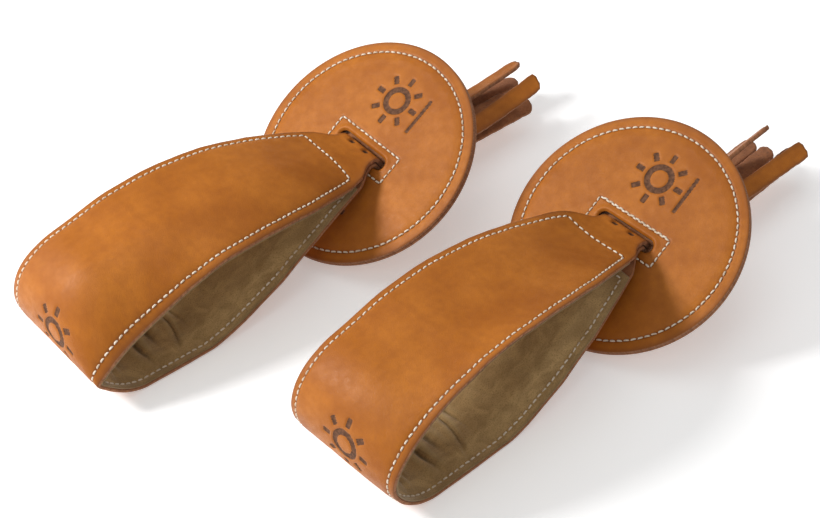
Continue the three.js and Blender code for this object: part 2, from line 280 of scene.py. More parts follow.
def section(width, near, far, columns):
    """One ring of a strip's section: y and depth at each point, with rounded corners."""
    inner, outer = width - EDGE_ROUND, width - 0.3 * EDGE_ROUND
    y = np.linspace(-inner, inner, columns + 1)
    n, f = near(y), far(y)
    bend = min(EDGE_ROUND, 0.4 * (f[0] - n[0]))
    ys = np.r_[-width, -outer, y, outer, width, width, outer, y[::-1], -outer, -width]
    depths = np.r_[n[0] + bend, n[0] + 0.3 * bend, n, n[-1] + 0.3 * bend, n[-1] + bend,
                   f[-1] - bend, f[-1] - 0.3 * bend, f[::-1], f[0] - 0.3 * bend, f[0] - bend]
    return ys, depths


def section_parts(columns):
    """The part that each segment of a section's ring belongs to: 0 near face, 1 edge, 2 far face."""
    face = columns + 2
    return np.array([1] + [0] * face + [1] * 3 + [2] * face + [1] * 2)


# ---- the hand loop's surfaces ------------------------------------------------------------------
class LoopLine:
    """The outer side of the strap, from the slot over the loop and back, with y across it."""

    def __init__(self, strap):
        self.floor = floor = strap.floor
        self.end_pull = END_PULL[strap.name]
        stations, *columns = np.array(SAG[strap.name], float).T
        reach = np.arange(-float(SAG_BLUR), LOOP_LENGTH + 20)
        window = np.hanning(2 * SAG_BLUR + 3)[1:-1]
        window /= window.sum()
        self.sag = [reach[SAG_BLUR:-SAG_BLUR]]
        self.sag += [np.convolve(np.interp(reach, stations, column), window, "valid") for column in columns]
        end = np.array([-(LOOP_LENGTH - LOOP_END_RADIUS), floor + LOOP_END_RADIUS])
        rise, sink = (KNUCKLE - NECK_SHIFT) * ACROSS, -(KNUCKLE + NECK_SHIFT) * ACROSS
        over = [rise + NECK_END * DOWN, rise + 3.4 * DOWN, (2.8, -0.3), (1.1, 1.3), (-1.6, 2.3), (-6, 3.0),
                (-13, 5.0), (-24, 8.4), (-45, 15.2), (-66, 20.8), (-95, 25.6), (-125, 27.4), (-155, 27.6)]
        under = [(-146, floor + 2.6), (-122, -35.5), (-95, -24.5), (-66, -15.4), (-45, -11.2), (-24, -8.4),
                 (-13, -6.2), (-6.5, -4.9), (-3.6, -4.3), sink + 2.9 * DOWN, sink + NECK_END * DOWN]
        first = math.radians(82)
        angles = first - (first + math.pi / 2) * np.linspace(0, 1, 40)
        arc = end + LOOP_END_RADIUS * np.stack([-np.cos(angles), np.sin(angles)], axis=1)
        line = np.vstack([spline(over, 24), arc, spline([(-162, floor), *under], 24)])
        self.points, self.s = resample(line, LOOP_STEP)
        self.normals = normals_of(self.points)
        self.end_s = self.s[np.argmin(self.points[:, 0])]
        self.rest_s = self.s[np.argmin(self.points[:, 1])]

    def rows(self, start):
        """The stations that are at least this far from the bending line."""
        return np.flatnonzero(-self.points[:, 0] >= start)

    def at(self, s, y, depth):
        """The place at a length along the line, across it, and at a depth below its outer side."""
        x = np.interp(s, self.s, self.points[:, 0])
        z = np.interp(s, self.s, self.points[:, 1])
        nx = np.interp(s, self.s, self.normals[:, 0])
        nz = np.interp(s, self.s, self.normals[:, 1])
        side = y / half_width(-x)
        y = y - END_TAPER * np.clip(side, 0, 1) * smooth_step(-x, 150, 215)
        pull = self.end_pull * np.clip(-side, 0, 1) ** 2 * smooth_step(-x, 170, 224)
        height = z + nz * depth + self.lift(s, x, z, side)
        return np.stack([x + pull + nx * depth, y + 0 * x, height], axis=-1)

    def lift(self, s, x, z, side):
        """How far the loop's sag lifts a point. side is -1 at the -Y edge and 1 at the +Y edge."""
        near, far = np.clip(-side, 0, 1) ** 1.8, np.clip(side, 0, 1) ** 1.8
        stations, near_share, far_share, under = self.sag
        share = np.interp(-x, stations, near_share) * near + np.interp(-x, stations, far_share) * far
        height = z - self.floor
        foot = 1 - np.exp(-(height / FOOT_HEIGHT) ** 2)
        below = np.maximum(np.interp(-x, stations, under) * near, -height)
        return np.where(s < self.rest_s, share * height * foot, below)

    def width(self, s):
        return half_width(-np.interp(s, self.s, self.points[:, 0]))

    def seam_limits(self):
        rows = self.rows(SEAM_START)
        return self.s[rows[0]], self.s[rows[-1]]

    def seam_distance(self, s, edge):
        """Distance to the strap's stitch line, of a point at this distance from the strap's edge."""
        low, high = self.seam_limits()
        along = np.where((s > low) & (s < high), np.abs(edge - SEAM_MARGIN),
                         np.hypot(edge - SEAM_MARGIN, np.minimum(abs(s - low), abs(s - high))))
        cross = np.where(edge > SEAM_MARGIN, np.minimum(abs(s - low), abs(s - high)), 99)
        return np.minimum(along, cross)


def emblem(u, v):
    """How far a point is pressed in, 0 to 1: a ring round a boss, with rays."""
    radius, angle = np.hypot(u, v), np.arctan2(v, u)
    ring = band(radius, *RING_RADII, EMBLEM_SOFT)
    spoke = (angle + math.pi / RAYS) % (2 * math.pi / RAYS) - math.pi / RAYS
    beside = np.abs(radius * np.sin(spoke)) - RAY_HALF_WIDTH
    ray = band(radius, *RAY_RADII, EMBLEM_SOFT) * (1 - smooth_step(beside, -EMBLEM_SOFT, EMBLEM_SOFT))
    return np.clip(ring + ray, 0, 1)


def strap_emblem(line, s, y):
    """How far the loop's mark is pressed in at a point, 0 to 1."""
    return emblem(s - line.end_s - STRAP_EMBLEM[0], y - STRAP_EMBLEM[1])


def leather_near(line, s):
    """Depth of the strap's grain side: rounded to the edges, drawn in along the seam, and pressed."""
    width = line.width(s)
    broad = float(smooth_step(width, 20, 30))

    def near(y):
        edge = width - np.abs(y)
        groove = SEAM_GROOVE * bell(line.seam_distance(s, edge), 0.8)
        crown = CROWN * (1 - smooth_step(edge, 0, CROWN_REACH)) * broad
        waves = (0.14 * ripple(s, y, 34, 2) + 0.05 * ripple(s, y, 9, 5)) * broad
        pressed = EMBLEM_DEPTH * strap_emblem(line, s, y) + HOLE_DEPTH * neck_holes(line, s, y)
        return crown + groove + waves + pressed
    return near


def neck_holes(line, s, y):
    """1 in the punched holes at the top of the slits, 0 elsewhere."""
    from_end = min(s, line.s[-1] - s)
    along = plateau(from_end - HOLE_FROM_END, HOLE_HALF_LENGTH)
    return sum(plateau(y - side * TAIL_PITCH / 2, HOLE_HALF_WIDTH) for side in (-1, 1)) * along


def suede_folds(line, s, y):
    """Cross folds of the suede where it is bent round the loop's closed end: 1 in a valley."""
    bend = plateau(s - line.end_s - 25, 88)
    width = line.width(s)
    folds = 0
    for k in range(FOLDS):
        at = line.end_s + (k - 3.5) * FOLD_SPACING + 3.8 * math.sin(2.7 * k)
        slant = 0.22 * math.sin(1.9 * k + 1)
        side = (0.1 + 0.3 * math.sin(3.1 * k)) * width
        reach = plateau(y - side, 0.7 * width)
        spread = 1.7 + 0.7 * math.sin(4.3 * k)
        away = (s - at - slant * y - 1.2 * np.sin(y / 7 + k)) / spread
        valley, ridges = bell(away, 1.0), bell(abs(away) - 2.4, 1.4)
        folds = folds + reach * (valley - 0.4 * ridges)
    inside = smooth_step(width - np.abs(y), SEAM_MARGIN - 0.6, SEAM_MARGIN + 2.5)
    return folds * bend * inside


def lining_far(line, s):
    """Depth of the suede's face: thin at the seam, plump over the foam, creased in the closed end."""
    width = line.width(s)
    low, high = line.seam_limits()
    fade = float(smooth_step(min(s - low, high - s), -3, 16))

    def far(y):
        edge = width - np.abs(y)
        plump = SUEDE_PLUMP * smooth_step(edge, SEAM_MARGIN, 15)
        waves = 0.3 * ripple(s, y, 17, 3) * smooth_step(edge, SEAM_MARGIN, SEAM_MARGIN + 3)
        seam = SUEDE_GROOVE * bell(line.seam_distance(s, edge), 0.9)
        soft = plump + waves - FOLD_DEPTH * suede_folds(line, s, y)
        return LEATHER + LAYER_GAP + SUEDE + soft * fade - seam
    return far


def loop_piece(strap, line, name, start, margin, columns, near_of, far_of, materials, press_of):
    """A closed layer of the loop between two depths that vary over it."""
    rows = line.rows(start)
    rings, flats, edges, seams, marks = [], [], [], [], []
    for i in rows:
        s = line.s[i]
        width = float(line.width(s)) - margin
        ys, depths = section(width, near_of(line, s), far_of(line, s), columns)
        rings.append(line.at(np.full(len(ys), s), ys, depths))
        flats.append(np.stack([np.full(len(ys), s), ys], axis=1))
        edge = width + margin - np.abs(ys)
        edges.append(edge)
        seams.append(line.seam_distance(s, edge))
        marks.append(press_of(line, s, ys))
    points = strap.place(np.vstack(rings))
    side, caps, segment = tube_faces(len(rings), len(rings[0]))
    parts = np.r_[section_parts(columns)[segment], np.ones(len(caps), int)]
    faces = outward(points, np.vstack([side, caps]))
    return mesh_object(name, points, faces, materials, parts, np.vstack(flats),
                       {"edge": np.concatenate(edges), "seam": np.concatenate(seams),
                        "press": np.concatenate(marks)})


# ---- stitches ----------------------------------------------------------------------------------
def stitch_mesh(strap, name, places, material):
    """Short rounded lengths of thread whose ends dive into the leather. places holds, for each stitch,
    its middle, direction and surface normal, and its length, in millimetres."""
    x = np.linspace(-1, 1, STITCH_RINGS)
    radius = THREAD_RADIUS * np.sqrt(np.clip(1 - 0.86 * x ** 4, 0, 1))
    lift = THREAD_RADIUS * (0.45 - 1.15 * x ** 4)
    turn = 2 * math.pi * np.arange(STITCH_SIDES) / STITCH_SIDES
    cosines, sines = np.cos(turn)[None, :, None], np.sin(turn)[None, :, None]
    points, faces = [], []
    side, caps, _ = tube_faces(STITCH_RINGS, STITCH_SIDES)
    pattern = np.vstack([side, caps])
    for k, (middle, along, normal, length) in enumerate(places):
        along = along / np.linalg.norm(along)
        across = np.cross(normal, along)
        across /= np.linalg.norm(across)
        along = along + 0.12 * across * math.sin(5 * k)
        wide = radius[:, None, None] * (cosines * across + sines * normal)
        centre = middle + (x * length / 2)[:, None] * along + lift[:, None] * normal
        points.append((centre[:, None, :] + wide).reshape(-1, 3))
        faces.append(pattern + k * STITCH_RINGS * STITCH_SIDES)
    points = strap.place(np.vstack(points))
    return mesh_object(name, points, outward(points, np.vstack(faces)), [material])


def stitch_places(route, normals, first=0.5):
    """Stitches at the sewing pitch along a route of points with surface normals."""
    along = np.r_[0, np.cumsum(np.linalg.norm(np.diff(route, axis=0), axis=1))]
    count = max(int(round(along[-1] / PITCH)), 1)
    step = along[-1] / count
    half = STITCH / 2

    def at(s, table):
        return np.array([np.interp(s, along, table[:, k]) for k in range(3)])

    places = []
    for k in range(count):
        s = (k + first) * step
        a, b = at(max(s - half, 0), route), at(min(s + half, along[-1]), route)
        normal = at(s, normals)
        places.append(((a + b) / 2, b - a, normal / np.linalg.norm(normal), STITCH * step / PITCH))
    return places


def loop_stitches(line, depth_of, inside):
    """The strap's seam: two long sides and a cross line at each end, on the grain or suede side."""
    low, high = line.seam_limits()
    s = np.linspace(low, high, 500)
    flip = 1 if inside else -1
    places = []

    def run(ss, ys):
        depth = np.array([depth_of(line, a)(np.array([b]))[0] for a, b in zip(ss, ys)])
        nx = flip * np.interp(ss, line.s, line.normals[:, 0])
        nz = flip * np.interp(ss, line.s, line.normals[:, 1])
        return stitch_places(line.at(ss, ys, depth), np.stack([nx, 0 * nx, nz], axis=1))

    for side in (-1, 1):
        places += run(s, side * (line.width(s) - SEAM_MARGIN))
    for end in (low, high):
        reach = float(line.width(end)) - SEAM_MARGIN
        y = np.linspace(-reach, reach, 60)
        places += run(np.full(len(y), end), y)
    return places


# ---- pad ---------------------------------------------------------------------------------------
def slot_edge(angle, width):
    """Distance from the slot's middle to its edge in a direction (0 is up the slope)."""
    c, s = np.abs(np.cos(angle)), np.abs(np.sin(angle))
    radius = width / 2
    straight = (SLOT_LENGTH - SLOT_WIDTH) / 2
    with np.errstate(divide="ignore"):
        flat = radius / np.maximum(c, 1e-9)
    root = np.sqrt(np.maximum(radius ** 2 - (straight * c) ** 2, 0))
    return np.where(flat * s <= straight, flat, straight * s + root)


def slot_distance(x, y):
    """Distance to the slot's edge."""
    straight = (SLOT_LENGTH - SLOT_WIDTH) / 2
    return np.hypot(x, np.maximum(np.abs(y) - straight, 0)) - SLOT_WIDTH / 2


def box_line_distance(x, y):
    """Distance to the stitched rectangle round the slot."""
    dx, dy = np.abs(x) - SLOT_SEAM_WIDTH / 2, np.abs(y) - SLOT_SEAM_LENGTH / 2
    outside = np.hypot(np.maximum(dx, 0), np.maximum(dy, 0))
    return np.abs(outside + np.minimum(np.maximum(dx, dy), 0))


def pad_emblem(x, y):
    """The pad's pressed marks, each with a plain bar beside it."""
    pressed = 0
    for turn in (1, -1):
        u, v = turn * x - PAD_EMBLEM[0], turn * y - PAD_EMBLEM[1]
        beyond_end = smooth_step(np.abs(u) - BAR_LENGTH / 2, -BAR_SOFT, BAR_SOFT)
        beyond_side = smooth_step(np.abs(v + BAR_AWAY) - BAR_WIDTH / 2, -BAR_SOFT, BAR_SOFT)
        pressed = pressed + emblem(u, v) + (1 - beyond_end) * (1 - beyond_side)
    return np.clip(pressed, 0, 1)


def pad_height(x, y):
    """The top disc's surface: domed inside the rim seam, drawn down along the seams, lipped at the slot."""
    radius, angle = np.hypot(x, y), np.arctan2(y, x)
    t = np.clip((radius - PAD_FLAT_RADIUS) / (PAD_RADIUS - PAD_FLAT_RADIUS), 0, 1)
    rim = -PAD_RIM_DROP * (1 - np.cos(math.pi * t)) / 2
    pucker = 0.5 + 0.5 * np.cos(angle * round(2 * math.pi * RIM_SEAM_RADIUS / PITCH))
    seam = (0.45 + 0.25 * pucker) * bell(radius - RIM_SEAM_RADIUS, 1.1)
    plump = PAD_PLUMP * bell(radius - RIM_SEAM_RADIUS + 5, 3.2)
    box = 0.4 * bell(box_line_distance(x, y), 0.9)
    away = slot_distance(x, y)
    lip = PAD_LIP * bell(away - 1.9, 1.7) * (0.6 + 0.4 * np.tanh(x / 3))
    roll = 1 - smooth_step(away, 0, 1.3)
    waves = 0.16 * ripple(x, y, 38, 7) + 0.04 * ripple(x, y, 8, 4)
    inside = bell(radius - RIM_SEAM_RADIUS + 3.5, 3.0)
    drawn = PAD_PUCKER * inside * ripple(RIM_SEAM_RADIUS * angle, 0 * angle, 7, 3)
    return rim + plump - seam - box + lip - roll + waves + drawn - EMBLEM_DEPTH * pad_emblem(x, y)


def disc(strap, name, rows, sectors, materials, slot_width=SLOT_WIDTH, slot_at=0.0):
    """A disc with a slot of this width through it, its middle slot_at up the slope. rows go once round the
    disc's section: (share of the way from slot to rim, height or None for the domed surface, material)."""
    angle = 2 * math.pi * np.arange(sectors) / sectors
    around = np.stack([np.cos(angle), np.sin(angle)], axis=1)
    slot = around * slot_edge(angle, slot_width)[:, None]
    slot[:, 0] += slot_at
    rim = around * (PAD_RADIUS + 0.25 * np.sin(3 * angle + 1))[:, None]
    points, flats, edges, seams, marks = [], [], [], [], []
    for share, height, _ in rows:
        x, y = (slot + (rim - slot) * share).T
        radius = np.hypot(x, y)
        z = pad_height(x, y) if height is None else np.full(sectors, height)
        points.append(strap.pad_point(x, y, z))
        flats.append(np.stack([x, y], axis=1))
        edges.append(PAD_RADIUS - radius)
        seams.append(np.minimum(np.abs(radius - RIM_SEAM_RADIUS), box_line_distance(x, y)))
        marks.append(pad_emblem(x, y) if height is None else np.zeros(sectors))
    count = len(rows)
    r, k = np.meshgrid(np.arange(count), np.arange(sectors), indexing="ij")
    down, nxt = (r + 1) % count, (k + 1) % sectors
    row, below = r * sectors, down * sectors
    faces = np.stack([row + k, row + nxt, below + nxt, below + k], axis=-1).reshape(-1, 4)
    parts = np.repeat([m for _, _, m in rows], sectors)
    placed = strap.place(np.vstack(points))
    return mesh_object(name, placed, outward(placed, faces), materials, parts, np.vstack(flats),
                       {"edge": np.concatenate(edges), "seam": np.concatenate(seams),
                        "press": np.concatenate(marks)})


def short_of_rim(distance):
    """The share of the way from slot to rim that stops this far short of the rim."""
    return 1 - distance / RIM_SPAN


def edge_rows(top, bottom):
    """Rows down a disc's rounded cut edge."""
    return [(1, height, 1) for height in np.linspace(top - 0.7, bottom + 0.5, 3)]


def top_disc(strap, materials):
    """Domed on top, with its rim drawn down, and flat below."""
    under = -PAD_RIM_DROP - PAD_LEATHER
    back = -PAD_LEATHER - 0.1
    rows = [(t, None, 0) for t in np.linspace(0, short_of_rim(0.9), TOP_ROWS)]
    rows += [(short_of_rim(0.3), -PAD_RIM_DROP - 0.25, 1)]
    rows += edge_rows(-PAD_RIM_DROP, under)
    rows += [(short_of_rim(0.5), under, 2), (0.86, under, 2), (0.7, -PAD_LEATHER - 0.5, 2)]
    rows += [(0.3, back, 2), (0.0, back, 1)]
    return disc(strap, f"pad_{strap.name}_top", rows, TOP_SECTORS, materials)


def bottom_disc(strap, materials):
    """Flat, with a groove under the rim seam. Its slot is only as wide as the two strap ends."""
    top = PAD_BOTTOM + PAD_LEATHER
    seam = (RIM_SEAM_RADIUS - SLOT_MEAN_RADIUS) / (PAD_RADIUS - SLOT_MEAN_RADIUS)
    rows = [(t, top, 2) for t in (0.0, 0.3, 0.7, 0.93)] + [(short_of_rim(0.4), top - 0.1, 1)]
    rows += edge_rows(top, PAD_BOTTOM)
    rows += [(short_of_rim(0.8), PAD_BOTTOM, 0), (seam + 0.03, PAD_BOTTOM, 0)]
    rows += [(seam, PAD_BOTTOM + 0.35, 0), (seam - 0.03, PAD_BOTTOM, 0)]
    rows += [(t, PAD_BOTTOM, 0) for t in (0.6, 0.4, 0.2, 0.02)]
    rows += [(0.0, PAD_BOTTOM + 0.5, 1), (0.0, top - 0.5, 1)]
    return disc(strap, f"pad_{strap.name}_bottom", rows, BOTTOM_SECTORS, materials,
                slot_width=2 * KNUCKLE + 0.3, slot_at=-NECK_SHIFT)


def rim_stitches(strap):
    """The ring of stitches near the rim, on both faces."""
    places = []
    angle = np.linspace(0, 2 * math.pi, 721)
    x, y = RIM_SEAM_RADIUS * np.cos(angle), RIM_SEAM_RADIUS * np.sin(angle)
    for heights, out in ((pad_height(x, y) + 0.35, 1), (np.full(len(x), PAD_BOTTOM + 0.15), -1)):
        normal = np.tile([-out * DOWN[0], 0, -out * DOWN[1]], (len(x), 1))
        places += stitch_places(strap.pad_point(x, y, heights), normal)
    return places


def slot_stitches(strap, doubled):
    """The rectangle round the slot, on both faces. The seam's ends overlap on one long side."""
    half_x, half_y = SLOT_SEAM_WIDTH / 2, SLOT_SEAM_LENGTH / 2
    corners = [(half_x, half_y), (half_x, -half_y), (-half_x, -half_y), (-half_x, half_y)]
    t = np.linspace(0, 1, 80)
    places = []
    for out in (1, -1):
        normal = np.tile([-out * DOWN[0], 0, -out * DOWN[1]], (len(t), 1))
        for k in range(4):
            (x0, y0), (x1, y1) = corners[k], corners[(k + 1) % 4]
            x, y = x0 + (x1 - x0) * t, y0 + (y1 - y0) * t
            z = pad_height(x, y) + 0.25 if out > 0 else np.full(len(t), PAD_BOTTOM - 0.05)
            places += stitch_places(strap.pad_point(x, y, z), normal)
            if k == 0 and doubled and out > 0:
                shifted = strap.pad_point(x + 0.5, y, z + 0.25)
                places += stitch_places(shifted, normal, first=1.0)[:-1]
    return places


# ---- tails -------------------------------------------------------------------------------------
def tail_line(strap, sign, stack):
    """The middle of a strap end's tails: down through the slot, then out under the pad."""
    offset = sign * (LEATHER + NECK_GAP) / 2 - NECK_SHIFT
    start = ACROSS * offset
    floor = strap.floor + stack
    points = [start, start + 7 * DOWN, start + 15 * DOWN, (22 + offset, floor + 28),
              (38 + offset, floor + 24), (58, floor + 22.5), (76, floor + 22), (100, floor + 21.5),
              (130, floor + 20.3), (165, floor + 18.3)]
    return spline(points, 24)


def tail_faces(s, half, fibre, seed):
    """Depths of a tail's grain side and of its rough back, at a length along it."""
    def plain(y):
        return -TAIL_LEATHER / 2 + 0.06 * ripple(s + 0 * y, y, 14, seed) + 0.05 * (np.abs(y) / half) ** 4

    def rough(y):
        return TAIL_LEATHER / 2 + fibre * ripple(s + 0 * y, y, 3.1, seed)
    return plain, rough


def tail_rings(line, centre_y, spec, grain_up, seed):
    """Rings of one tail, from inside the slot to its cut tip."""
    drift, lift, twist, length, tip = spec
    points, s = resample(line[line[:, 0] <= length], TAIL_STEP)
    normals = normals_of(points)
    rings, flats, edges = [], [], []
    for i in np.flatnonzero(s >= NECK_END - 2):
        x, z = points[i]
        t = max((x - TAIL_LOOSE) / (length - TAIL_LOOSE), 0)
        angle = math.radians(twist) * t * (2 - t)
        left = max(s[-1] - s[i], 0.02)
        narrow = math.sqrt(max(1 - (1 - min(left / tip, 1)) ** 2, 0.05))
        ragged = 0.16 * math.sin(s[i] / 2.3 + seed) + 0.1 * math.sin(s[i] / 0.9 + 2 * seed)
        drawn_in = 0.94 + 0.06 * float(smooth_step(x, 8, 30))
        half = drawn_in * (TAIL_WIDTH / 2 + ragged * t) * (0.35 + 0.65 * narrow)
        ys, depths = section(half, *tail_faces(s[i], half, 0.12 if t > 0 else 0, seed), TAIL_COLUMNS)
        depths = -depths if grain_up else depths
        depths = depths + 0.5 * (ys / half) ** 2 * t * (1 if grain_up else -1)
        rise = ys * math.sin(angle) + depths * math.cos(angle)
        y = drawn_in * centre_y + ys * math.cos(angle) - depths * math.sin(angle) + drift * t * t
        slant = 0.12 * ys * smooth_step(t, 0.8, 1)
        height = z + normals[i, 1] * rise + lift * t * t
        rings.append(np.stack([x + slant + normals[i, 0] * rise, y, height], axis=1))
        flats.append(np.stack([np.full(len(ys), s[i]), ys + 40 * seed], axis=1))
        edges.append(half - np.abs(ys))
    return rings, flats, edges


def tails_object(strap, end, materials):
    """The three tails of one strap end."""
    upper = end == "upper"
    line = tail_line(strap, 1 if upper else -1, TAIL_STACK if upper else 0)
    points, faces, parts, flats, edges = [], [], [], [], []
    start = 0
    for k, spec in enumerate(TAILS[strap.name][end]):
        rings, flat, edge = tail_rings(line, (1 - k) * TAIL_PITCH, spec, upper, k + 1.0)
        side, caps, segment = tube_faces(len(rings), len(rings[0]))
        placed = strap.place(np.vstack(rings))
        faces.append(outward(placed, np.vstack([side, caps])) + start)
        parts.append(np.r_[section_parts(TAIL_COLUMNS)[segment], np.ones(len(caps), int)])
        points.append(placed)
        flats.append(np.vstack(flat))
        edges.append(np.concatenate(edge))
        start += len(placed)
    far_from_seam = np.full(start, 50.0)
    return mesh_object(f"tails_{strap.name}_{end}_leather", np.vstack(points), np.vstack(faces), materials,
                       np.concatenate(parts), np.vstack(flats),
                       {"edge": np.concatenate(edges), "seam": far_from_seam, "press": np.zeros(start)})


# ---- materials ---------------------------------------------------------------------------------
class Shader:
    """A Principled material, built a node at a time."""

    def __init__(self, name, roughness, **sockets):
        self.material = bpy.data.materials.new(name)
        self.material.use_nodes = True
        self.nodes, self.links = self.material.node_tree.nodes, self.material.node_tree.links
        self.bsdf = self.nodes["Principled BSDF"]
        self.bsdf.inputs["Roughness"].default_value = roughness
        for socket, value in sockets.items():
            self.bsdf.inputs[socket.replace("_", " ")].default_value = value

    def node(self, kind, **inputs):
        made = self.nodes.new("ShaderNode" + kind)
        for key, value in inputs.items():
            self.feed(made.inputs[key.replace("_", " ")], value)
        return made

    def feed(self, socket, value):
        if isinstance(value, bpy.types.NodeSocket):
            self.links.new(value, socket)
        else:
            socket.default_value = value

    def flat(self, size, along=1.0):
        """Coordinates on the flat leather, so that a feature is this many millimetres across."""
        source = self.nodes.new("ShaderNodeUVMap")
        source.uv_map = "flat"
        scale = self.node("Mapping", Vector=source.outputs["UV"])
        scale.inputs["Scale"].default_value = (1 / (size * along), 1 / size, 1)
        return scale.outputs["Vector"]

    def noise(self, where, detail=4.0, roughness=0.55, distortion=0.0):
        made = self.node("TexNoise", Vector=where, Scale=1.0, Detail=detail, Roughness=roughness,
                         Distortion=distortion)
        return made.outputs["Fac"]

    def cells(self, where):
        made = self.node("TexVoronoi", Vector=where, Scale=1.0)
        made.feature = "DISTANCE_TO_EDGE"
        return made.outputs["Distance"]

    def value(self, name):
        made = self.nodes.new("ShaderNodeAttribute")
        made.attribute_name = name
        return made.outputs["Fac"]

    def ramp(self, factor, low, high, start=0.0, end=1.0):
        made = self.node("MapRange", Value=factor)
        made.interpolation_type = "SMOOTHSTEP"
        for key, number in (("From Min", low), ("From Max", high), ("To Min", start), ("To Max", end)):
            made.inputs[key].default_value = number
        return made.outputs["Result"]

    def math(self, kind, a, b):
        made = self.nodes.new("ShaderNodeMath")
        made.operation = kind
        self.feed(made.inputs[0], a)
        self.feed(made.inputs[1], b)
        return made.outputs[0]

    def mix(self, factor, a, b):
        made = self.nodes.new("ShaderNodeMix")
        made.data_type = "RGBA"
        self.feed(made.inputs["Factor"], factor)
        self.feed(made.inputs["A"], a)
        self.feed(made.inputs["B"], b)
        return made.outputs["Result"]

    def bump(self, layers):
        """layers is a list of (height, distance in millimetres)."""
        normal = None
        for height, distance in layers:
            made = self.node("Bump", Height=height, Distance=distance * MM, Strength=1.0)
            if normal is not None:
                self.links.new(normal, made.inputs["Normal"])
            normal = made.outputs["Normal"]
        self.links.new(normal, self.bsdf.inputs["Normal"])

    def finish(self, colour, roughness=None):
        self.feed(self.bsdf.inputs["Base Color"], colour)
        if roughness is not None:
            self.feed(self.bsdf.inputs["Roughness"], roughness)
        return self.material


def rgb(red, green, blue):
    return (red, green, blue, 1.0)


def grain_leather(name, light, deep):
    """Waxed tan leather: cloudy dye, fine pores, darker burnished edges, painted shade along the stitch
    grooves, and dark pressed marks, with painted shade in the punched holes.
    """
    s = Shader(name, 0.45, Specular_IOR_Level=0.2)
    cloud = s.ramp(s.noise(s.flat(42), 3), 0.32, 0.7)
    mottle = s.ramp(s.noise(s.flat(5.5), 5, 0.62), 0.3, 0.72)
    speck = s.ramp(s.noise(s.flat(0.9), 2), 0.56, 0.72)
    colour = s.mix(cloud, light, deep)
    colour = s.mix(s.math("MULTIPLY", mottle, 0.28), colour, rgb(0.23, 0.062, 0.011))
    colour = s.mix(s.math("MULTIPLY", speck, 0.16), colour, rgb(0.15, 0.05, 0.014))
    rub = s.math("MULTIPLY", s.ramp(s.noise(s.flat(16, 1.6), 4, 0.6), 0.6, 0.8), 0.22)
    colour = s.mix(rub, colour, rgb(0.57, 0.23, 0.04))
    edge = s.math("MULTIPLY", s.ramp(s.value("edge"), 3.4, 0.0), 0.55)
    colour = s.mix(edge, colour, rgb(0.2, 0.065, 0.02))
    # painted shade: the leather is darkened along the stitch grooves, where the seam draws it in
    seam = s.math("MULTIPLY", s.ramp(s.value("seam"), 1.3, 0.1), 0.6)
    colour = s.mix(seam, colour, rgb(0.13, 0.042, 0.013))
    # the pressed marks are dark brown; the punched holes share this mask, and their dark is painted shade
    press = s.ramp(s.value("press"), 0.38, 0.62)
    uneven = s.ramp(s.noise(s.flat(2.2), 4), 0.35, 0.7)
    mark_colour_and_hole_shade = s.mix(uneven, rgb(0.085, 0.036, 0.018), rgb(0.17, 0.075, 0.036))
    colour = s.mix(press, colour, mark_colour_and_hole_shade)
    pores = s.cells(s.flat(0.75))
    wrinkle = s.noise(s.flat(2.6, 1.5), 4, 0.6, 0.6)
    s.bump([(wrinkle, 0.11), (s.ramp(pores, 0.0, 0.16), 0.045), (s.noise(s.flat(0.45), 2), 0.03)])
    rough = s.ramp(mottle, 0.0, 1.0, 0.38, 0.5)
    return s.finish(colour, s.math("ADD", rough, s.math("MULTIPLY", press, 0.25)))


def raw_edge():
    """The cut edge of the leather, with the layers of the hide showing. Inside the slot it is painted
    near-black as shade.
    """
    s = Shader("leather_cut_edge", 0.8, Specular_IOR_Level=0.25)
    fibre = s.noise(s.flat(0.7, 3.0), 4, 0.65)
    colour = s.mix(s.ramp(fibre, 0.3, 0.7), rgb(0.36, 0.16, 0.075), rgb(0.2, 0.08, 0.036))
    # painted shade: the cut faces inside the slot, far from any outer edge, are painted near-black
    colour = s.mix(s.ramp(s.value("edge"), 10, 20), colour, rgb(0.06, 0.024, 0.012))
    s.bump([(fibre, 0.16)])
    return s.finish(colour)


def flesh_leather():
    """The rough back of the hide: red-brown, fibrous and matt."""
    s = Shader("leather_flesh", 0.92, Specular_IOR_Level=0.12, Sheen_Weight=0.1, Sheen_Roughness=0.6)
    fibre = s.noise(s.flat(1.1, 2.2), 6, 0.7, 0.5)
    patch = s.noise(s.flat(7), 4, 0.6)
    colour = s.mix(s.ramp(patch, 0.3, 0.7), rgb(0.36, 0.14, 0.055), rgb(0.25, 0.09, 0.034))
    colour = s.mix(s.math("MULTIPLY", s.ramp(fibre, 0.5, 0.72), 0.75), colour, rgb(0.095, 0.035, 0.017))
    s.bump([(fibre, 0.4), (s.noise(s.flat(0.5), 3, 0.7), 0.12)])
    return s.finish(colour)


